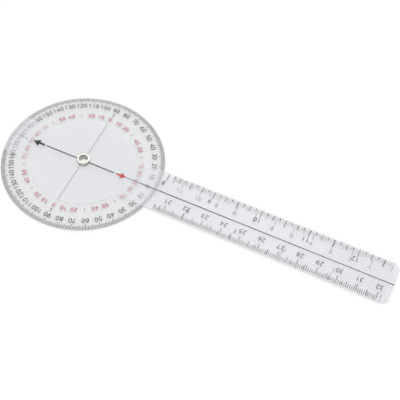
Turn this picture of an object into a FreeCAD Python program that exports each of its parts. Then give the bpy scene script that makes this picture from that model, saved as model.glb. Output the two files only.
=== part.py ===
"""Clear plastic goniometer: a round dial with a stationary arm, a moving arm that turns on it,
and the hollow eyelet that joins them. Millimetres; one STEP file per piece in parts/.

The origin lies on the pivot axis, in the underside of the stationary arm. +X runs along the
folded arms to their tips, and +Z points up, out of the printed faces."""

import FreeCAD
import Part

import math
import os

# Sheets
sheet_thickness = 0.8  # both arms are cut from the same clear sheet
edge_break = 0.12  # small bevel on the cut edges
sheet_play = 0.1  # air between the two sheets

# Outlines, seen from above
dial_radius = 41.6
arm_width = 23.6
arm_reach = 165.5  # pivot axis to the arms' tips
tip_corner_radius = 4.0
hub_radius = 26.9  # round middle of the moving arm
root_radius = 1.0  # inside corners where an arm leaves a round part

# Eyelet, rolled from thin tube
bore_radius = 2.2
eyelet_wall = 0.25
head_roll_radius = 0.37  # to the middle of the wall
head_rise = 0.6  # straight tube between the head's seat and its curl
set_roll_radius = 0.3
set_drop = 0.45  # straight tube between the washer and the lower curl
barrel_clearance = 0.05  # radial, in each sheet's hole and in the washer
head_play = 0.05  # air between the head's rim and the moving arm

# Washer that the eyelet's lower end is curled over
washer_thickness = 0.3
washer_margin = 0.1  # past the curled end

# Levels along the pivot, from the stationary arm's underside at 0
moving_arm_z = sheet_thickness + sheet_play
head_seat_z = moving_arm_z + sheet_thickness + head_play
set_seat_z = -washer_thickness

barrel_mid_radius = bore_radius + eyelet_wall / 2
hole_radius = bore_radius + eyelet_wall + barrel_clearance
set_outer_radius = barrel_mid_radius + 2 * set_roll_radius + eyelet_wall / 2
washer_radius = set_outer_radius + washer_margin

up = FreeCAD.Vector(0, 0, 1)


def disc(radius):
    """A round sheet about the pivot, standing on z = 0."""
    return Part.makeCylinder(radius, sheet_thickness)


def strip(start_x, end_x):
    """A straight sheet of the arm's width, standing on z = 0, with square corners."""
    corner = FreeCAD.Vector(start_x, -arm_width / 2, 0)
    return Part.makeBox(end_x - start_x, arm_width, sheet_thickness, corner)


def is_upright_at(edge, x, y):
    """True for an edge that runs along Z above the point x, y."""
    box = edge.BoundBox
    same_place = math.hypot(box.Center.x - x, box.Center.y - y) < edge_break
    return same_place and box.XLength + box.YLength < edge_break


def round_upright_edges(sheet, x, radius):
    """Rounds the sheet's two corners at x and at either side of the arm."""
    corners = []
    for edge in sheet.Edges:
        if is_upright_at(edge, x, arm_width / 2) or is_upright_at(edge, x, -arm_width / 2):
            corners.append(edge)
    return sheet.makeFillet(radius, corners)


def where_arm_leaves(radius):
    """X of the corner between a round part of this radius and the arm's sides."""
    return math.sqrt(radius**2 - (arm_width / 2) ** 2)


def break_edges(sheet):
    """Bevels the sheet's upper and lower outlines, while its hole is still uncut."""
    outline = [edge for edge in sheet.Edges if edge.BoundBox.ZLength < edge_break]
    return sheet.makeChamfer(edge_break, outline)


def with_pivot_hole(sheet):
    """Cuts the hole for the eyelet's barrel through a sheet that stands on z = 0."""
    drill = Part.makeCylinder(hole_radius, sheet_thickness)
    return sheet.cut(drill)


def make_stationary_arm():
    """Dial disc and arm in one sheet, with small fillets where the arm leaves the disc."""
    sheet = disc(dial_radius).fuse(strip(0, arm_reach)).removeSplitter()
    sheet = round_upright_edges(sheet, where_arm_leaves(dial_radius), root_radius)
    sheet = round_upright_edges(sheet, arm_reach, tip_corner_radius)
    return with_pivot_hole(break_edges(sheet))


def make_moving_arm():
    """Strip with a round hub. Its tail ends on the dial's rim, so that folded it covers no more."""
    tail = strip(-dial_radius, 0).common(disc(dial_radius))
    sheet = disc(hub_radius).fuse([tail, strip(0, arm_reach)]).removeSplitter()
    sheet = round_upright_edges(sheet, where_arm_leaves(hub_radius), root_radius)
    sheet = round_upright_edges(sheet, -where_arm_leaves(hub_radius), root_radius)
    sheet = round_upright_edges(sheet, arm_reach, tip_corner_radius)
    sheet = with_pivot_hole(break_edges(sheet))
    return sheet.translated(up * moving_arm_z)


def make_roll(roll_radius, straight, seat_z, outward):
    """The end of the tube, curled half a turn, with its rim led straight back until it stands on
    seat_z. outward is 1 for the head and -1 for the set end below. straight is how far past the
    seat the curl begins. The curl's hidden hollow is half a hexagon."""
    centre_radius = barrel_mid_radius + roll_radius
    outer = roll_radius + eyelet_wall / 2
    inner = roll_radius - eyelet_wall / 2

    def around(size, degrees):
        """A point of the section, in the XZ plane, at this angle about the curl's centre."""
        angle = math.radians(degrees)
        across = centre_radius - size * math.cos(angle)
        return FreeCAD.Vector(across, 0, seat_z + outward * (straight + size * math.sin(angle)))

    def on_seat(size):
        """The point of the section where the rim, this far from the curl's centre, is seated."""
        return FreeCAD.Vector(centre_radius + size, 0, seat_z)

    back = Part.Arc(around(outer, 0), around(outer, 90), around(outer, 180)).toShape()
    rim = Part.makePolygon([around(outer, 180), on_seat(outer), on_seat(inner), around(inner, 180)])
    hollow = Part.makePolygon([around(inner, turn) for turn in (180, 120, 60, 0)])
    bore_lip = Part.makePolygon([around(inner, 0), around(outer, 0)])
    section = Part.Wire([back, rim, hollow, bore_lip])
    return Part.Face(section).revolve(FreeCAD.Vector(0, 0, 0), up, 360)


def make_pivot_eyelet():
    """Straight barrel through both sheets and the washer, rolled over at either end."""
    low_z = set_seat_z - set_drop
    height = head_seat_z + head_rise - low_z
    barrel = Part.makeCylinder(bore_radius + eyelet_wall, height, up * low_z)
    barrel = barrel.cut(Part.makeCylinder(bore_radius, height, up * low_z))
    head = make_roll(head_roll_radius, head_rise, head_seat_z, 1)
    set_end = make_roll(set_roll_radius, set_drop, set_seat_z, -1)
    return barrel.fuse([head, set_end]).removeSplitter()


def make_eyelet_washer():
    """Flat ring between the stationary arm and the curled end."""
    base = up * set_seat_z
    ring = Part.makeCylinder(washer_radius, washer_thickness, base)
    return ring.cut(Part.makeCylinder(hole_radius, washer_thickness, base))


pieces = {
    "stationary_arm": make_stationary_arm(),
    "moving_arm": make_moving_arm(),
    "pivot_eyelet": make_pivot_eyelet(),
    "eyelet_washer": make_eyelet_washer(),
}

os.makedirs("parts", exist_ok=True)
for name, shape in pieces.items():
    solid = shape.Solids[0]
    solid.exportStep(f"parts/{name}.step")
    print(f"{name}: {len(shape.Solids)} solid, {solid.Volume:.1f} mm3, valid {solid.isValid()}")
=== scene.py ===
# %% [markdown]
# # A clear plastic goniometer
#
# A goniometer measures the angle between two arms. This one is cut from two clear plastic
# sheets that turn on a hollow metal eyelet. Everything on it that can be read is ink: a dial
# in degrees, two rulers, two arrows and some lines.
#
# The sheets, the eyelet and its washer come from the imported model, which is loaded first and
# never changed. This file gives them their finish and adds the ink as thin closed pieces.

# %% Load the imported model
import math

import bpy
import numpy as np
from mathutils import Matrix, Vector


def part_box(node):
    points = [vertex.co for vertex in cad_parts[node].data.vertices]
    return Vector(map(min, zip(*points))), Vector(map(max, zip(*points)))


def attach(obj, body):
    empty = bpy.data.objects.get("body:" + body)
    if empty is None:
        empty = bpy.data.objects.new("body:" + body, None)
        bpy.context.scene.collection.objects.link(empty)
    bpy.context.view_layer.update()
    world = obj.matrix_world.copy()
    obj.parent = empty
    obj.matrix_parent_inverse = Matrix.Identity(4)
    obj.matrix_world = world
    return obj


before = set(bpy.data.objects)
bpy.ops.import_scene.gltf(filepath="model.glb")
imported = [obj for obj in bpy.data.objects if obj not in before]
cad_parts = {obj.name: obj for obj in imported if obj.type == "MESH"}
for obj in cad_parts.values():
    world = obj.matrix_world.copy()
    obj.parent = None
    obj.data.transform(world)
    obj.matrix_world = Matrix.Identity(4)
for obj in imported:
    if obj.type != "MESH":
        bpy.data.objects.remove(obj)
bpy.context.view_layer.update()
print("nodes:", sorted(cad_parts))

# %% [markdown]
# Blender counts in metres, and a small tool is easier to think of in millimetres. So every
# length below is written in millimetres, and `mm` turns it into metres in one place, when a
# mesh or a lamp is made. The main sizes are read from the loaded model, so that the ink always
# lies where the sheets are.

# %% Sizes read from the model, in millimetres
mm = 0.001


def corners_of(node):
    """Lowest and highest corner of a node, in millimetres."""
    low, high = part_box(node)
    return np.array(low) / mm, np.array(high) / mm


def points_of(node):
    """All corner points of a node's mesh, one row each, in millimetres."""
    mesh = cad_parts[node].data
    flat = np.zeros(len(mesh.vertices) * 3, np.float32)
    mesh.vertices.foreach_get("co", flat)
    return flat.reshape(-1, 3) / mm


dial_low, dial_high = corners_of("stationary_arm")
hub_low, hub_high = corners_of("moving_arm")
eyelet_low, eyelet_high = corners_of("pivot_eyelet")
eyelet_points = points_of("pivot_eyelet")

dial_radius = -dial_low[0]
hub_radius = hub_high[1]
arm_tip = dial_high[0]
head_radius = eyelet_high[0]
bore_radius = np.hypot(eyelet_points[:, 0], eyelet_points[:, 1]).min()
floor_level = eyelet_low[2]

arm_points = points_of("moving_arm")
beyond_dial = arm_points[arm_points[:, 0] > dial_radius]
arm_edge = beyond_dial[:, 1].max()
print(f"dial radius {dial_radius:.1f}, hub {hub_radius:.1f}, tip {arm_tip:.1f}, arm edge {arm_edge:.2f}")

# %% [markdown]
# ## Camera
#
# The camera looks down on the folded tool from the front right, from about 0.4 m away. A long
# lens keeps the far end of the arm nearly as large as the near one. Its place and turn are
# plain numbers: a camera that was matched to a real one has a small roll, which aiming at a
# point can't give.

# %% Camera
camera_place = (144.602, -212.772, 346.951)
camera_turn = (33.692, -2.472, 24.272)
lens_length = 75.509
sensor_width = 36.0
nearest_seen = 10.0
farthest_seen = 50000.0

camera_data = bpy.data.cameras.new("camera")
camera_data.lens = lens_length
camera_data.sensor_fit = "HORIZONTAL"
camera_data.sensor_width = sensor_width
camera_data.clip_start = nearest_seen * mm
camera_data.clip_end = farthest_seen * mm
camera = bpy.data.objects.new("camera", camera_data)
camera.location = [length * mm for length in camera_place]
camera.rotation_euler = [math.radians(angle) for angle in camera_turn]
bpy.context.scene.collection.objects.link(camera)
bpy.context.scene.camera = camera
bpy.context.scene.view_settings.view_transform = "Standard"
print("camera", tuple(round(length, 4) for length in camera.location))

# %% [markdown]
# ## Node helper
#
# A procedural material is a graph of small nodes. Wiring it by hand repeats the same three
# steps: add a node, set its sockets, link it on. The helper below does the three in one call,
# and a value that is itself a socket becomes a link.

# %% Node helper
def new_graph(owner):
    """Switches nodes on for a material or a world, empties its graph and returns it."""
    owner.use_nodes = True
    owner.node_tree.nodes.clear()
    return owner.node_tree


def node(graph, kind, settings=None, **sockets):
    """Adds a node. settings are its own properties, and sockets are its inputs: a name's
    underscores stand for spaces, and in0, in1, ... name an input by its place."""
    made = graph.nodes.new(kind)
    for name, value in (settings or {}).items():
        setattr(made, name, value)
    for name, value in sockets.items():
        placed = name[2:] if name.startswith("in") else ""
        socket = made.inputs[int(placed)] if placed.isdigit() else made.inputs[name.replace("_", " ")]
        if isinstance(value, bpy.types.NodeSocket):
            graph.links.new(value, socket)
        else:
            socket.default_value = value
    return made


def maths(graph, operation, *values):
    """One Math node's result, from numbers or sockets."""
    inputs = {f"in{place}": value for place, value in enumerate(values)}
    return node(graph, "ShaderNodeMath", {"operation": operation}, **inputs).outputs[0]


def shader_mix(graph, share, first, second):
    """A Mix Shader: first where share is 0 and second where it is 1."""
    return node(graph, "ShaderNodeMixShader", None, in0=share, in1=first, in2=second).outputs[0]


# %% [markdown]
# Few real finishes are the same all over. Some change along a piece, like a veil that grows
# denser towards the tip. A colour ramp does that: the place on an axis becomes a share from 0
# to 1, and each stop of the ramp holds a colour. Others have soft blotches that follow no axis,
# and noise gives those. It keeps to the middle of its range, so that part is spread out.

# %% Ramps and blotches
noise_low = 0.3  # nearly all of the noise lies between these two
noise_high = 0.7


def ramp_along(graph, place, axis, stops):
    """A colour that changes along one axis of a piece, straight from stop to stop. Each stop is
    a place on the axis in millimetres and the colour there, or a share of 0 to 1 as a grey."""
    stops = [(spot, tone if isinstance(tone, tuple) else (tone, tone, tone, 1)) for spot, tone in stops]
    along = node(graph, "ShaderNodeSeparateXYZ", None, in0=place).outputs[axis]
    first, last = stops[0][0], stops[-1][0]
    share = node(graph, "ShaderNodeMapRange", None, Value=along, From_Min=first * mm, From_Max=last * mm)
    ramp = node(graph, "ShaderNodeValToRGB", None, Fac=share.outputs[0])
    marks = ramp.color_ramp.elements
    marks[0].color, marks[1].color = stops[0][1], stops[-1][1]
    for spot, colour in stops[1:-1]:
        marks.new((spot - first) / (last - first)).color = colour
    return ramp.outputs[0]


def cloudiness(graph, scale, low, high, detail=2.0):
    """Soft blotches between low and high, from noise on the piece's own coordinates. scale is
    about how many of them a metre holds."""
    place = node(graph, "ShaderNodeTexCoord").outputs["Object"]
    noise = node(graph, "ShaderNodeTexNoise", None, Vector=place, Scale=scale, Detail=detail)
    spread = node(
        graph,
        "ShaderNodeMapRange",
        None,
        Value=noise.outputs[0],
        From_Min=noise_low,
        From_Max=noise_high,
        To_Min=low,
        To_Max=high,
    )
    return spread.outputs[0]


# %% [markdown]
# ## Floor and light
#
# The tool lies on plain white. A floor that is only lit would need strong lamps to reach
# white, and they would bleach the plastic. So the floor adds a glow of its own for the rays
# that look at it (Light Path tells which), and keeps a part of its tone for real light, which
# is what lets the tool throw a soft shadow. All other rays meet plain white paint.

# %% Floor
floor_half = 3000.0
shadow_part = 0.30  # how much of the floor's tone is light that falls on it
glow = 0.74  # how much of it shines by itself
floor_paint = 0.85  # the tone that all other rays meet


def seen_rays(graph):
    """1 for a ray that looks straight, through clear plastic or by a mirror, 0 for others."""
    path = node(graph, "ShaderNodeLightPath").outputs
    straight = maths(graph, "MAXIMUM", path["Is Camera Ray"], path["Is Glossy Ray"])
    return maths(graph, "MAXIMUM", straight, path["Is Transmission Ray"])


def make_floor_material():
    """White paint that looks white to the camera and still takes shadows."""
    material = bpy.data.materials.new("white_floor")
    graph = new_graph(material)
    lit = node(graph, "ShaderNodeBsdfDiffuse", None, Color=(shadow_part,) * 3 + (1,))
    own = node(graph, "ShaderNodeEmission", None, Color=(1, 1, 1, 1), Strength=glow)
    shown = node(graph, "ShaderNodeAddShader", None, in0=lit.outputs[0], in1=own.outputs[0])
    paint = node(graph, "ShaderNodeBsdfDiffuse", None, Color=(floor_paint,) * 3 + (1,))
    surface = shader_mix(graph, seen_rays(graph), paint.outputs[0], shown.outputs[0])
    node(graph, "ShaderNodeOutputMaterial", None, Surface=surface)
    return material


floor_corners = [(-1, -1), (1, -1), (1, 1), (-1, 1)]
floor_mesh = bpy.data.meshes.new("floor")
floor_mesh.from_pydata(
    [(x * floor_half * mm, y * floor_half * mm, floor_level * mm) for x, y in floor_corners],
    [],
    [(0, 1, 2, 3)],
)
floor_mesh.materials.append(make_floor_material())
floor = bpy.data.objects.new("floor", floor_mesh)
bpy.context.scene.collection.objects.link(floor)
print("floor at", round(floor_level, 2), "mm")

# %% [markdown]
# The light is a bright overcast sky, which reaches under the head of the eyelet as well, and
# one broad lamp from behind, which gives the eyelet its shadow side and the cut edges in front
# their darker line. Together they light a level face at the plain level, where a colour renders
# about as it is written. The lamp is as broad as a studio's white panel: a smaller one of the
# same power is so bright that its reflection in the four faces would hide the print from a
# viewer who stands opposite.

# %% Sky and lamp
sky_strength = 0.80
lamp_power = 110.0
lamp_size = 6000.0
lamp_place = (200.0, 4200.0, 3720.0)


def make_sky():
    """A pale even sky. Rays that look at it see plain white, like the floor."""
    world = bpy.data.worlds.new("sky")
    graph = new_graph(world)
    strength = maths(graph, "MAXIMUM", seen_rays(graph), sky_strength)
    light = node(graph, "ShaderNodeBackground", None, Color=(1, 1, 1, 1), Strength=strength)
    node(graph, "ShaderNodeOutputWorld", None, Surface=light.outputs[0])
    return world


bpy.context.scene.world = make_sky()
lamp_data = bpy.data.lights.new("lamp", "AREA")
lamp_data.energy = lamp_power
lamp_data.size = lamp_size * mm
lamp = bpy.data.objects.new("lamp", lamp_data)
lamp.location = [length * mm for length in lamp_place]
lamp.rotation_euler = (-lamp.location).to_track_quat("-Z", "Y").to_euler()
bpy.context.scene.collection.objects.link(lamp)
print("lamp", lamp_power, "W")

# %% [markdown]
# ## The clear sheet
#
# Each arm is rigid clear sheet with one glossy face and one matt face. The matt face lies
# underneath. It is what makes the tool look faintly milky, and what fades the scales of the
# lower arm where the upper arm covers them. The cut edges are matt too.
#
# Real glass shading would bend every ray through two sheets and need many samples. A thin
# sheet hardly bends what is seen through it, so this finish mixes three plain shaders: a
# Transparent one, a Diffuse one for the milky veil, and a Glossy one for the shine, which
# grows towards a flat view as it does on any smooth plastic.
#
# Which face a ray meets follows from its normal. Blender turns the normal of a face that is
# seen from inside towards the viewer, so Backfacing turns it back.

# %% Faces and shine of a sheet
level_normal = 0.9  # a face is level where its normal is at least this upright
straight_shine = 0.015  # share that a smooth plastic mirrors when seen straight on
shine_rise = 5.0  # how steeply the shine grows towards a flat view


def face_height(graph):
    """The outward normal's height: 1 on the upper face, -1 on the lower, 0 on a cut edge."""
    geometry = node(graph, "ShaderNodeNewGeometry").outputs
    place = node(graph, "ShaderNodeTexCoord").outputs
    height = node(graph, "ShaderNodeSeparateXYZ", None, in0=place["Normal"]).outputs["Z"]
    outside = maths(graph, "MULTIPLY_ADD", geometry["Backfacing"], -2.0, 1.0)  # 1, or -1 from inside
    return maths(graph, "MULTIPLY", height, outside)


def shine_share(graph, straight):
    """Share of light that is mirrored: straight on a square view, rising to all of it along
    the surface with the fifth power, shine_rise, of how far the view leans."""
    lean = node(graph, "ShaderNodeLayerWeight", None, Blend=0.5).outputs["Facing"]
    fifth = maths(graph, "POWER", lean, shine_rise)
    return maths(graph, "MULTIPLY_ADD", fifth, 1.0 - straight, straight)


# %% [markdown]
# A matt face scatters light onwards more than it stops it, so the sheet lets shadow rays
# through: what lies under it is lit as brightly as what lies beside it. The haze is the share
# that a face hides of what lies behind it. It is a little uneven, and so is the glossy face,
# which hands and tables have rubbed.

# %% Clear sheet
top_haze = 0.015
edge_haze = 0.25
edge_tone = (0.80, 0.82, 0.82, 1)
clear_tint = (0.995, 0.997, 0.998, 1)
haze_patches = 60.0  # to the metre
haze_spread = (0.97, 1.03)  # what the haze is multiplied by
rub_patches = 900.0
rub_roughness = (0.05, 0.12)


def make_clear_sheet(name, matt_haze, milky):
    """Clear sheet, glossy above and matt below, with matt cut edges. matt_haze is how much the
    matt face covers, at places along the arm."""
    material = bpy.data.materials.new(name)
    graph = new_graph(material)
    height = face_height(graph)
    under = maths(graph, "GREATER_THAN", maths(graph, "MULTIPLY", height, -1.0), level_normal)
    edge = maths(graph, "LESS_THAN", maths(graph, "ABSOLUTE", height), level_normal)
    place = node(graph, "ShaderNodeTexCoord").outputs["Object"]
    matt = ramp_along(graph, place, "X", matt_haze)
    haze = maths(graph, "MULTIPLY_ADD", under, maths(graph, "SUBTRACT", matt, top_haze), top_haze)
    haze = maths(graph, "MULTIPLY_ADD", edge, edge_haze - top_haze, haze)
    haze = maths(graph, "MULTIPLY", haze, cloudiness(graph, haze_patches, *haze_spread))
    tone = node(graph, "ShaderNodeMixRGB", None, Fac=edge, Color1=milky, Color2=edge_tone)
    veil = node(graph, "ShaderNodeBsdfDiffuse", None, Color=tone.outputs[0])
    clear = node(graph, "ShaderNodeBsdfTransparent", None, Color=clear_tint)
    body = shader_mix(graph, haze, clear.outputs[0], veil.outputs[0])
    rubbed = cloudiness(graph, rub_patches, *rub_roughness, detail=6.0)
    shine = node(graph, "ShaderNodeBsdfGlossy", None, Color=(1, 1, 1, 1), Roughness=rubbed)
    surface = shader_mix(graph, shine_share(graph, straight_shine), body, shine.outputs[0])
    passed = node(graph, "ShaderNodeBsdfTransparent", None, Color=(1, 1, 1, 1))
    shadow = node(graph, "ShaderNodeLightPath").outputs["Is Shadow Ray"]
    surface = shader_mix(graph, shadow, surface, passed.outputs[0])
    node(graph, "ShaderNodeOutputMaterial", None, Surface=surface)
    return material


# %% [markdown]
# The lower sheet's veil is a little darker and denser than the upper one's. That is painted
# shade, for the shade of its own print and of the table's contact, since the sheets let shadow
# rays through. Each stop below is a place along the arm, in millimetres from the pivot, and the
# haze of the matt face there.

# %% Finish of the two arms
# Along the arm the haze is thinner in the middle and denser on the dial and at the tip. That is painted
# shade and painted light, which evens out how brightly the arm is lit along its length.
lower_haze_and_shade = [(-42, 0.63), (30, 0.63), (60, 0.46), (110, 0.46), (165, 0.70)]
upper_haze_and_shade = [(-42, 0.275), (30, 0.28), (60, 0.28), (110, 0.28), (165, 0.38)]
# The lower veil's darker tone is painted shade.
lower_milk_and_shade = (0.71, 0.725, 0.74, 1)
upper_milk = (0.94, 0.935, 0.98, 1)
lower_sheet = make_clear_sheet("lower_sheet", lower_haze_and_shade, lower_milk_and_shade)
upper_sheet = make_clear_sheet("upper_sheet", upper_haze_and_shade, upper_milk)


def finish_node(name, material):
    """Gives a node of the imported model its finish."""
    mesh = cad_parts[name].data
    mesh.materials.clear()
    mesh.materials.append(material)
    print(name, "is finished as", material.name)


finish_node("stationary_arm", lower_sheet)
finish_node("moving_arm", upper_sheet)

# %% [markdown]
# ## The metal
#
# The eyelet is thin tube, plated pale, and rolled over by a tool that polishes its head. Under
# a white sky it looks almost white. Fine noise in the roughness stands for the plating's
# grain, and a slower one stains it slightly warm. The washer below is the same metal, duller.
# The bore's wall is painted dark, as shade, with a painted band of light half-way down where
# the wall catches the light that falls in.
#
# Real plastic bends the light that enters it steeply down, so the low head hardly shades the
# matt face beneath. This file's plastic bends no light, and the head's shadow would come out
# long and hard. So the eyelet throws none, and only the darkness of near contact stays.

# %% Eyelet and washer metal
stain_patches = 700.0  # to the metre
grain_patches = 6000.0
grain_spread = 0.3  # how far the roughness varies, as a share of itself
bore_skin = 0.06  # depth of metal behind the bore's wall that counts as bore
# Painted shade darkens the bore's wall, and a painted band of light lies half-way down it.
bore_painted_shade = (0.26, 0.26, 0.23, 1)
bore_painted_light = (0.62, 0.63, 0.56, 1)
bore_painted_bands = [  # height in millimetres, and the tone there
    (-0.9, bore_painted_shade),
    (0.15, bore_painted_shade),
    (0.65, bore_painted_light),
    (0.95, bore_painted_light),
    (1.45, bore_painted_shade),
    (2.4, bore_painted_shade),
]


def bore_share(graph, place):
    """1 on the wall of the bore and 0 outside it, by the distance from the pivot axis."""
    flat = node(graph, "ShaderNodeVectorMath", {"operation": "MULTIPLY"}, in0=place, in1=(1, 1, 0))
    reach = node(graph, "ShaderNodeVectorMath", {"operation": "LENGTH"}, in0=flat.outputs[0])
    return maths(graph, "LESS_THAN", reach.outputs["Value"], (bore_radius + bore_skin) * mm)


def make_plated_metal(name, light, warm, roughness):
    """Plated metal between two close tones, with fine grain in its roughness, and painted shade and light
    in the bore.
    """
    material = bpy.data.materials.new(name)
    graph = new_graph(material)
    place = node(graph, "ShaderNodeTexCoord").outputs["Object"]
    stain = cloudiness(graph, stain_patches, 0.0, 1.0)
    plated = node(graph, "ShaderNodeMixRGB", None, Fac=stain, Color1=light, Color2=warm).outputs[0]
    bore_painting = ramp_along(graph, place, "Z", bore_painted_bands)
    inside = bore_share(graph, place)
    tone = node(graph, "ShaderNodeMixRGB", None, Fac=inside, Color1=plated, Color2=bore_painting)
    low, high = roughness * (1 - grain_spread), roughness * (1 + grain_spread)
    grain = cloudiness(graph, grain_patches, low, high, detail=4.0)
    metal = node(
        graph,
        "ShaderNodeBsdfPrincipled",
        None,
        Base_Color=tone.outputs[0],
        Metallic=1.0,
        Roughness=grain,
    )
    node(graph, "ShaderNodeOutputMaterial", None, Surface=metal.outputs[0])
    return material


polished = (0.85, 0.85, 0.80, 1)
polished_warm = (0.78, 0.77, 0.68, 1)
satin = (0.72, 0.71, 0.66, 1)
satin_warm = (0.64, 0.62, 0.54, 1)
eyelet_metal = make_plated_metal("eyelet_metal", polished, polished_warm, roughness=0.30)
washer_metal = make_plated_metal("washer_metal", satin, satin_warm, roughness=0.38)
finish_node("pivot_eyelet", eyelet_metal)
finish_node("eyelet_washer", washer_metal)
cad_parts["pivot_eyelet"].visible_shadow = False

# %% [markdown]
# ## Inks
#
# The print is screen ink: a dense, slightly uneven film. There is a black one, a red one for
# the arrow, a rosier one for the red scale, which is printed thinner, and a grey for the fine
# lines. Ink that lies against plastic has hardly any gloss of its own.

# %% Inks
ink_gloss = 0.15
cover_patches = 2500.0  # to the metre
film_patches = 5000.0
film_roughness = (0.42, 0.62)


def make_ink(name, dense, thin):
    """Ink that varies a little between a dense and a thin tone, and is not quite smooth."""
    material = bpy.data.materials.new(name)
    graph = new_graph(material)
    cover = cloudiness(graph, cover_patches, 0.0, 1.0, detail=4.0)
    tone = node(graph, "ShaderNodeMixRGB", None, Fac=cover, Color1=dense, Color2=thin)
    matt = cloudiness(graph, film_patches, *film_roughness)
    film = node(
        graph,
        "ShaderNodeBsdfPrincipled",
        None,
        Base_Color=tone.outputs[0],
        Roughness=matt,
        Specular_IOR_Level=ink_gloss,
    )
    node(graph, "ShaderNodeOutputMaterial", None, Surface=film.outputs[0])
    return material


black_ink = make_ink("black_ink", dense=(0.006, 0.007, 0.008, 1), thin=(0.016, 0.017, 0.019, 1))
grey_ink = make_ink("grey_ink", dense=(0.10, 0.10, 0.105, 1), thin=(0.14, 0.14, 0.15, 1))
red_ink = make_ink("red_ink", dense=(0.54, 0.034, 0.032, 1), thin=(0.61, 0.062, 0.056, 1))
rose_ink = make_ink("rose_ink", dense=(0.54, 0.140, 0.21, 1), thin=(0.60, 0.200, 0.27, 1))
print("inks:", black_ink.name, grey_ink.name, red_ink.name, rose_ink.name)

# %% [markdown]
# ## How ink becomes a mesh
#
# A printed line is a very flat bar. It could be painted on by a texture, but a closed solid
# keeps its crisp edge at any distance. So each line is a little block that stands between two
# levels.
#
# The stationary arm is printed on its upper face. The moving arm is printed on its matt
# underside, where the ink lies against the plastic and can't rub off, so its ink sits just
# inside that face and is seen through clear plastic only.

# %% Levels of the print
ink_depth = 0.018
ink_bite = 0.003  # how far a print sinks into the face that carries it

dial_levels = (dial_high[2] - ink_bite, dial_high[2] + ink_depth - ink_bite)
moving_levels = (hub_low[2] + ink_bite, hub_low[2] + ink_bite + ink_depth)
print("print on the dial at", dial_levels, "and on the moving arm at", moving_levels)

# %% [markdown]
# A scale is hundreds of straight lines, and one function makes them all at once. It works on
# whole arrays: one row for each line, with its start, its end and its width.

# %% Straight bars
def bars(starts, ends, width, levels):
    """Closed blocks along many straight lines at once. Each end of a line gives two corners, moved
    half the width to either side, and each corner stands on both levels."""
    starts, ends = np.atleast_2d(starts).astype(float), np.atleast_2d(ends).astype(float)
    along = (ends - starts) / np.linalg.norm(ends - starts, axis=1, keepdims=True)
    aside = np.column_stack([-along[:, 1], along[:, 0]]) * np.reshape(width, (-1, 1)) / 2
    outline = np.stack([starts - aside, ends - aside, ends + aside, starts + aside], axis=1)
    count = len(outline)
    points = np.empty((count, 2, 4, 3))
    points[..., :2] = outline[:, None]
    points[:, 0, :, 2], points[:, 1, :, 2] = levels
    block = np.array([[3, 2, 1, 0], [4, 5, 6, 7], [0, 1, 5, 4], [1, 2, 6, 5], [2, 3, 7, 6], [3, 0, 4, 7]])
    faces = (block[None] + 8 * np.arange(count)[:, None, None]).reshape(-1, 4)
    return points.reshape(-1, 3), [faces]


# %% [markdown]
# A numeral is bent, so its strokes carry the same flat box along a path. At a corner the box
# stands half-way between the two runs and is widened to fill the corner, as in a mitre joint.

# %% Strokes along a path
least_cosine = 0.5  # of half a corner's turn: sharper corners are widened no further


def stroke(path, width, levels):
    """A flat box profile carried along a path. Each point of the path is moved to either side
    along the half-way line of its two neighbouring runs, by half the width over the cosine of
    the half angle, so that corners keep the width. A path whose last point is its first is
    closed to a ring."""
    ring = np.allclose(path[0], path[-1])
    path = path[:-1] if ring else path
    count = len(path)
    before = np.roll(path, 1, axis=0)
    after = np.roll(path, -1, axis=0)
    if not ring:
        before[0] = 2 * path[0] - path[1]
        after[-1] = 2 * path[-1] - path[-2]
    into = (path - before) / np.linalg.norm(path - before, axis=1, keepdims=True)
    out = (after - path) / np.linalg.norm(after - path, axis=1, keepdims=True)
    mitre = into + out
    mitre /= np.linalg.norm(mitre, axis=1, keepdims=True)
    spread = width / 2 / np.maximum((mitre * into).sum(axis=1, keepdims=True), least_cosine)
    aside = np.column_stack([-mitre[:, 1], mitre[:, 0]]) * spread
    points = np.empty((count, 4, 3))
    points[:, [0, 3], :2] = (path - aside)[:, None]
    points[:, [1, 2], :2] = (path + aside)[:, None]
    points[:, :2, 2], points[:, 2:, 2] = levels
    here = np.arange(count if ring else count - 1)
    there = (here + 1) % count
    side = np.arange(4)
    next_side = (side + 1) % 4
    faces = np.stack(
        [
            here[:, None] * 4 + side,
            here[:, None] * 4 + next_side,
            there[:, None] * 4 + next_side,
            there[:, None] * 4 + side,
        ],
        axis=-1,
    ).reshape(-1, 4)
    if not ring:
        last = 4 * (count - 1)
        faces = np.vstack([faces, [[3, 2, 1, 0], [last, last + 1, last + 2, last + 3]]])
    return points.reshape(-1, 3), [faces]


# %% [markdown]
# Lines that belong together and share a colour become one piece, such as a scale. Each shape
# gives its points and its faces, and the faces count from the shape's own first point, so that
# count is moved on by the points that came before. The piece then rides on the body of the arm
# that carries it.

# %% A printed piece
def ink_piece(name, parts, material, body):
    """Joins points and faces, in millimetres, to one printed piece that rides on a body."""
    all_points, all_faces, first = [], [], 0
    for points, face_groups in parts:
        all_points.append(points * mm)
        for faces in face_groups:
            all_faces += (faces + first).tolist()
        first += len(points)
    mesh = bpy.data.meshes.new(name)
    mesh.from_pydata(np.vstack(all_points), [], all_faces)
    mesh.validate()
    mesh.materials.append(material)
    piece = bpy.data.objects.new(name, mesh)
    bpy.context.scene.collection.objects.link(piece)
    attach(piece, body)
    print(name, len(mesh.polygons), "faces on", body)
    return piece


# %% [markdown]
# ## Numerals
#
# The numerals are plain upright ones, as a scale engraver draws them: a few strokes of one
# weight, made of straight runs and parts of ellipses. A font's outlines would do as well, but
# strokes need only a few faces each and keep an even weight. A numeral is drawn in a box one
# unit wide and one unit high, to the middle of its strokes.

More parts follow.
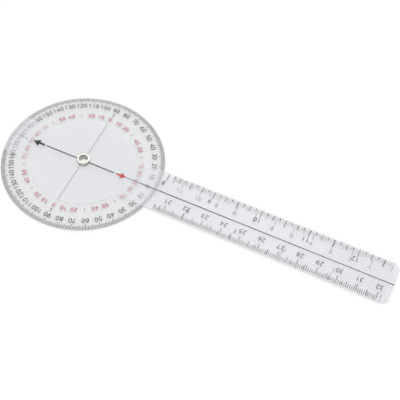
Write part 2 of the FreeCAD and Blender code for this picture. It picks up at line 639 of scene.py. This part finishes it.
# %% Strokes of the ten numerals
def bow(middle, size, start, end, count=9):
    """Part of an ellipse: its middle plus the size times the cosine and sine of an angle that
    runs from start to end, in degrees."""
    angle = np.radians(np.linspace(start, end, count))
    return np.column_stack([middle[0] + size[0] * np.cos(angle), middle[1] + size[1] * np.sin(angle)])


six = [
    bow((0.5, 0.31), (0.5, 0.31), 90, 450, 15),
    np.vstack([[(0.80, 1.0)], bow((0.80, 0.31), (0.80, 0.62), 118, 180, 6)]),
]
numeral_strokes = {
    "0": [bow((0.5, 0.5), (0.5, 0.5), 0, 360, 19)],
    "1": [np.array([(0.18, 0.76), (0.58, 1.0), (0.58, 0.0)])],
    "2": [np.vstack([bow((0.48, 0.71), (0.46, 0.29), 165, -28, 9), [(0.0, 0.0), (1.0, 0.0)]])],
    "3": [
        np.vstack(
            [
                bow((0.46, 0.76), (0.42, 0.24), 150, -80, 8),
                bow((0.46, 0.27), (0.50, 0.27), 82, -150, 9),
            ]
        )
    ],
    "4": [np.array([(0.74, 0.0), (0.74, 1.0), (0.0, 0.28), (1.0, 0.28)])],
    "5": [
        np.vstack(
            [
                [(0.92, 1.0), (0.20, 1.0), (0.10, 0.52)],
                bow((0.46, 0.33), (0.52, 0.33), 122, -145, 10),
            ]
        )
    ],
    "6": six,
    "7": [np.array([(0.0, 1.0), (1.0, 1.0), (0.36, 0.0)])],
    "8": [
        bow((0.5, 0.76), (0.40, 0.24), -90, 270, 13),
        bow((0.5, 0.26), (0.5, 0.26), 90, 450, 15),
    ],
    "9": [1.0 - line for line in six],
}
print("numerals:", "".join(numeral_strokes))

# %% [markdown]
# A number on a scale is a row of numerals. It is laid out about its own middle first, then
# turned and moved to its place, which needs one turn and one shift for all its points.

# %% Setting a number
# Shares of the numeral's height: its strokes, its width, and the way on to the next one.
numeral_weight = 0.123
numeral_width = 0.64
numeral_step = 0.77


def number(text, middle, up, height, levels, weight=numeral_weight):
    """Strokes of a number. up is the direction of its top, in degrees from +X. Turning by that
    angle less 90 degrees takes the upright layout there."""
    turn = math.radians(up - 90)
    across = np.array([math.cos(turn), math.sin(turn)])
    upward = np.array([-math.sin(turn), math.cos(turn)])
    thick = weight * height
    reach = np.array([numeral_width * height - thick, height - thick])
    parts = []
    for place, numeral in enumerate(text):
        shift = (place - (len(text) - 1) / 2) * numeral_step * height
        for line in numeral_strokes[numeral]:
            flat = (line - 0.5) * reach + (shift, 0)
            placed = np.array(middle) + flat[:, :1] * across + flat[:, 1:] * upward
            parts.append(stroke(placed, thick, levels))
    return parts


# %% [markdown]
# ## The dial
#
# The dial has a tick for every degree right at its rim, so close together that they read as a
# grey band. Every fifth and tenth tick reaches further in. Each half of the dial is numbered
# from 0, at the stationary arm, to 180, and all numerals stand with their feet to the pivot.

# %% Dial ticks
bevel = 0.12  # the sheets' broken edges, which carry no print
tick_rim = dial_radius - bevel
degree_reach = 2.05
five_reach = 2.6
ten_reach = 3.1
degree_width = 0.225


def around(radius, angle):
    """The point at this radius and angle in degrees, as rows of x and y."""
    angle = np.radians(angle)
    return np.stack([radius * np.cos(angle), radius * np.sin(angle)], axis=-1)


degrees = np.arange(360)
reach_in = np.where(degrees % 10 == 0, ten_reach, np.where(degrees % 5 == 0, five_reach, degree_reach))
rim_points = around(tick_rim, degrees)
inner_points = around(tick_rim - reach_in, degrees)
degree_ticks = bars(inner_points, rim_points, degree_width, dial_levels)
print("degree ticks:", len(degrees))

# %% [markdown]
# The black numbers stand just inside the ticks, every ten degrees. Each is placed by its angle
# and turned by the same angle, so one loop over both halves sets them all. 0 and 180 belong to
# both halves and are set once.

# %% Dial numbers in black
black_ring = 36.3
black_height = 2.6

dial_parts = [degree_ticks]
for half in (1, -1):
    for value in range(10, 180, 10):
        angle = half * value
        dial_parts += number(str(value), around(black_ring, angle), angle, black_height, dial_levels)
for value in (0, 180):
    dial_parts += number(str(value), around(black_ring, value), value, black_height, dial_levels)
print("black strokes and ticks:", len(dial_parts))

# %% [markdown]
# Short ticks inside the black numbers mark the quarters. At 0, towards the arm, there is none.

# %% Quarter ticks
quarter_ticks = [(90, 31.9, 34.1), (270, 31.9, 34.1), (180, 32.5, 34.4)]  # angle, two radii
quarter_width = 0.35
for angle, inside, outside in quarter_ticks:
    dial_parts.append(bars(around(inside, angle), around(outside, angle), quarter_width, dial_levels))
ink_piece("dial_scale", dial_parts, black_ink, "stationary")

# %% [markdown]
# The red scale counts from 0 across the arm to 90 along it, in each quarter. Where 30 and 60
# would stand there is only a thin tick. The second colour goes on in a second pass of the
# printing screen, and here that pass lies a little off the first.

# %% Dial numbers in red
red_ring = 29.75
red_height = 2.4
red_weight = 0.165
red_tick_length = 1.9
red_tick_width = 0.22
second_pass = (-0.15, -0.25)


def on_second_pass(radius, angle):
    """The point at this radius and angle in degrees, moved by what the second pass is off."""
    return around(radius, angle) + second_pass


red_parts = []
thin_parts = []
for quarter in (0, 180):
    for side in (1, -1):
        for value in (10, 20, 40, 50, 70, 80):
            angle = quarter + side * (90 - value)
            spot = on_second_pass(red_ring, angle)
            red_parts += number(str(value), spot, angle, red_height, dial_levels, red_weight)
        for value in (30, 60):
            angle = quarter + side * (90 - value)
            inside = on_second_pass(red_ring - red_tick_length / 2, angle)
            outside = on_second_pass(red_ring + red_tick_length / 2, angle)
            thin_parts.append(bars(inside, outside, red_tick_width, dial_levels))
    for text, angle in (("90", quarter), ("0", quarter + 90)):
        spot = on_second_pass(red_ring, angle)
        red_parts += number(text, spot, angle, red_height, dial_levels, red_weight)
ink_piece("dial_red_scale", red_parts, rose_ink, "stationary")
ink_piece("dial_thin_ticks", thin_parts, grey_ink, "stationary")

# %% [markdown]
# ## The rulers
#
# Unfolded, the two arms make one long ruler with centimetres on one edge and inches on the
# other. So the moving arm carries its far end, and the stationary arm its beginning. Both are
# drawn by the same function: ticks hang from an edge, and their length tells their rank.

# %% Ruler ticks
inch = 25.4
tick_inset = {1: 0.35, -1: 0.8}  # bare plastic between the edge at +Y or -Y and its ticks

# Each rank: how many counts lie between its ticks, how deep they reach, how wide they are.
centimetre_ranks = [(10, 5.1, 0.27), (5, 4.05, 0.29), (1, 2.9, 0.235)]
inch_ranks = [(8, 4.65, 0.30), (4, 4.65, 0.30), (2, 3.4, 0.27), (1, 1.8, 0.32)]


def edge_ticks(counts, places, ranks, side, levels):
    """Ticks that hang from the arm's edge at y = side times arm_edge, inwards. The largest rank
    that divides a tick's count gives its depth and its width."""
    depth, width = np.zeros(len(counts)), np.zeros(len(counts))
    for step, rank_depth, rank_width in reversed(ranks):
        chosen = counts % step == 0
        depth[chosen], width[chosen] = rank_depth, rank_width
    outer = np.column_stack([places, np.full(len(places), side * (arm_edge - tick_inset[side]))])
    inner = np.column_stack([places, side * (arm_edge - depth)])
    return bars(inner, outer, width, levels)


# %% [markdown]
# Both arms have the same two scales, only turned about: the moving arm counts along +X, from
# far behind the pivot, and the stationary arm counts back from near its tip. So one function
# draws both, with a way of 1 or -1. The zero of the stationary arm is the one that is printed.

# %% Rulers of both arms
moving_zero = -160.5  # where the moving arm's centimetres would begin
stationary_zero = 161.8
inch_lag = 0.5  # the inch scale begins this much later
centimetre_middle = 4.0  # from the arm's middle to the middle of the numbers
inch_middle = 5.4
inch_shift = 0.7  # a number stands this much before its tick
ruler_height = 2.55
ruler_weight = 0.12


def rulers(zero, way, tenths, eighths, levels, aside=0.0):
    """Ticks at these tenths of a centimetre and eighths of an inch, and a number at each whole
    one but 0. A tick's place is its scale's zero plus way times its distance. Centimetres hang
    from the edge at y = -way times arm_edge, inches from the other one, and aside is how far
    the numbers lie off towards +Y."""

    def set_number(text, x, y):
        """A number with its top towards the centimetre edge."""
        return number(text, (x, y + aside), -90 * way, ruler_height, levels, ruler_weight)

    parts = [edge_ticks(tenths, zero + way * tenths, centimetre_ranks, -way, levels)]
    for value in tenths[(tenths % 10 == 0) & (tenths > 0)] // 10:
        parts += set_number(str(value), zero + way * 10 * value, -way * centimetre_middle)
    start = zero + way * inch_lag
    parts.append(edge_ticks(eighths, start + way * eighths * inch / 8, inch_ranks, way, levels))
    for value in eighths[(eighths % 8 == 0) & (eighths > 0)] // 8:
        parts += set_number(str(value), start + way * (value * inch - inch_shift), way * inch_middle)
    return parts


tenths = np.arange(205, 321)  # 20.5 to 32 centimetres
eighths = np.arange(8 * 8, 12 * 8 + 5)  # 8 to 12 1/2 inches
moving_parts = rulers(moving_zero, 1, tenths, eighths, moving_levels)
ink_piece("moving_rulers", moving_parts, black_ink, "moving")

still_shift = 0.4  # this print sits a little off the middle of its sheet
tenths = np.arange(0, 116)  # 0 to 11.5 centimetres
eighths = np.arange(0, 4 * 8 + 5)  # 0 to 4 1/2 inches
still_parts = rulers(stationary_zero, -1, tenths, eighths, dial_levels, still_shift)
ink_piece("stationary_rulers", still_parts, black_ink, "stationary")

# %% [markdown]
# ## Lines and arrows
#
# The moving arm is read with the black arrow on the black scale, and with the red arrow on
# the red one. A strong line joins the arrows across the hub, a light cross line stands square
# to it, and one long line runs on to the arm's tip.

# %% Arrows
black_arrow = {"tip": -29.0, "base": -25.4, "foot": -22.4, "half_width": 2.1, "stem": 1.15}
red_arrow = {"tip": 24.0, "base": 21.2, "foot": 18.8, "half_width": 1.9, "stem": 1.0}


def level_bar(start_x, end_x, width):
    """A line along the arm's middle."""
    return bars((start_x, 0), (end_x, 0), width, moving_levels)


def wedge(tip, base_middle, half_width, levels):
    """A flat arrow head: a closed three-sided block from its tip to its base."""
    tip, base_middle = np.array(tip, float), np.array(base_middle, float)
    along = (tip - base_middle) / np.linalg.norm(tip - base_middle)
    aside = np.array([-along[1], along[0]]) * half_width
    outline = np.array([tip, base_middle + aside, base_middle - aside])
    points = np.vstack([np.column_stack([outline, np.full(3, level)]) for level in levels])
    flats = np.array([(2, 1, 0), (3, 4, 5)])
    sides = np.array([(0, 1, 4, 3), (1, 2, 5, 4), (2, 0, 3, 5)])
    return points, [flats, sides]


def arrow(tip, base, foot, half_width, stem):
    """An arrow along the arm's middle: a head from its tip to its base, and a stem of this width
    from there to its foot."""
    head = wedge((tip, 0), (base, 0), half_width, moving_levels)
    return [head, level_bar(min(base, foot), max(base, foot), stem)]


# %% [markdown]
# The strong line has one width and stops at the eyelet's head. The centre line changes its
# width a little on its way to the tip, so it is a few bars, end to end. At the tip and at the
# hub's edge the lines leave a margin of bare plastic.

# %% Lines
shaft_width = 0.59
shaft_start = -21.5  # a short way from the black arrow's foot
shaft_end = 17.5
line_margin = 0.2
line_end = arm_tip - line_margin
# The centre line's bars: where each starts and ends, and its width.
centre_line = [(31.5, 42, 0.41), (42, 80, 0.51), (80, 120, 0.45), (120, line_end, 0.39)]
cross_line = 0.195
light_line = 0.36

black_parts = arrow(**black_arrow)
black_parts += [
    level_bar(shaft_start, -head_radius, shaft_width),
    level_bar(head_radius, shaft_end, shaft_width),
]
black_parts += [level_bar(start, end, width) for start, end, width in centre_line]
ink_piece("black_arrow_and_lines", black_parts, black_ink, "moving")
ink_piece("red_arrow", arrow(**red_arrow), red_ink, "moving")

cross_end = hub_radius - line_margin
thin_lines = [
    bars((0, head_radius), (0, cross_end), cross_line, moving_levels),
    bars((0, -cross_end), (0, -head_radius), cross_line, moving_levels),
    level_bar(red_arrow["tip"], centre_line[0][0], light_line),
]
ink_piece("thin_lines", thin_lines, grey_ink, "moving")
